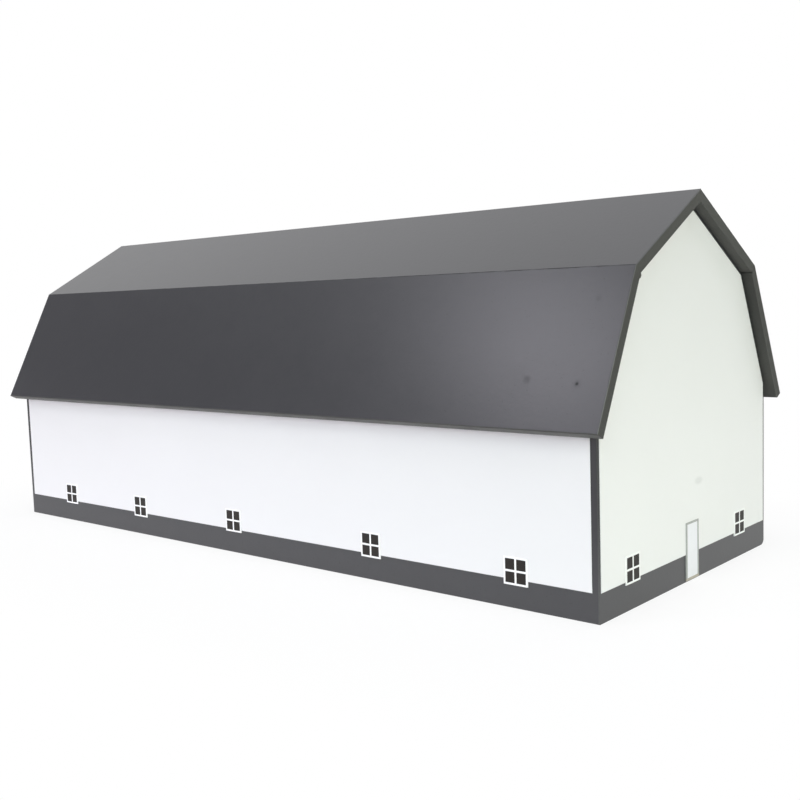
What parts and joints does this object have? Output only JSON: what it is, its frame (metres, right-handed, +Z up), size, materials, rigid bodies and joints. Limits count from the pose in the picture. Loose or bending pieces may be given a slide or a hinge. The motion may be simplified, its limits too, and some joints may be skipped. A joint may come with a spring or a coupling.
{
  "type": "toy barn",
  "caption": "Toy dairy barn with a gambrel roof, plain white siding, small windows and a door in each gable; the lower back roof board lifts on a long hinge to open the inside.",
  "frame": {"origin": "middle of the barn in plan, on the surface it stands on", "axes": "+X along the barn to the gable seen at the right of the picture, +Y across to the back with the hinged flap, +Z up"},
  "size_m": [0.5288, 0.2232, 0.214],
  "materials": {
    "charcoal_board": "satin dark charcoal paint on wooden board",
    "bare_board": "unpainted",
    "bare_wood": "unpainted",
    "white_siding": "matte printed sheet",
    "white_trim": "matte",
    "grey_trim": "matte",
    "sill_brown": "matte",
    "window_dark": "matte",
    "hinge_steel": "satin",
    "brad_steel": "satin, painted over"
  },
  "bodies": {
    "barn": {"back_siding": "white_siding", "back_upper_roof": "charcoal_board", "back_wall": "charcoal_board", "back_window_1": "white_trim", "back_window_2": "white_trim", "back_window_3": "white_trim", "back_window_4": "white_trim", "back_window_5": "white_trim", "back_window_panes": "window_dark", "floor_board": "bare_board", "front_lower_roof": "charcoal_board", "front_siding": "white_siding", "front_upper_roof": "charcoal_board", "front_wall": "charcoal_board", "front_window_1": "white_trim", "front_window_2": "white_trim", "front_window_3": "white_trim", "front_window_4": "white_trim", "front_window_5": "white_trim", "front_window_panes": "window_dark", "hinge_fixed_leaf": "hinge_steel", "hinge_fixed_screws": "hinge_steel", "hinge_pin": "hinge_steel", "knee_rod": "charcoal_board", "left_back_upper_batten": "bare_wood", "left_door_leaf": "white_trim", "left_door_sill": "sill_brown", "left_door_trim": "grey_trim", "left_front_lower_batten": "bare_wood", "left_front_upper_batten": "bare_wood", "left_gable_siding": "white_siding", "left_gable_wall": "charcoal_board", "left_window_1": "white_trim", "left_window_2": "white_trim", "left_window_panes": "window_dark", "right_back_upper_batten": "bare_wood", "right_door_leaf": "white_trim", "right_door_sill": "sill_brown", "right_door_trim": "grey_trim", "right_front_lower_batten": "bare_wood", "right_front_upper_batten": "bare_wood", "right_gable_siding": "white_siding", "right_gable_wall": "charcoal_board", "right_window_1": "white_trim", "right_window_2": "white_trim", "right_window_panes": "window_dark", "roof_brads": "brad_steel"},
    "flap": {"back_roof_flap": "charcoal_board", "hinge_flap_leaf": "hinge_steel", "hinge_flap_screws": "hinge_steel"}
  },
  "joints": [
    {"name": "flap_hinge", "type": "hinge", "parent": "barn", "child": "flap", "pos_m": [0, 0.07361, 0.17479], "axis": [1, 0, 0], "range_deg": [0, 210]}
  ]
}
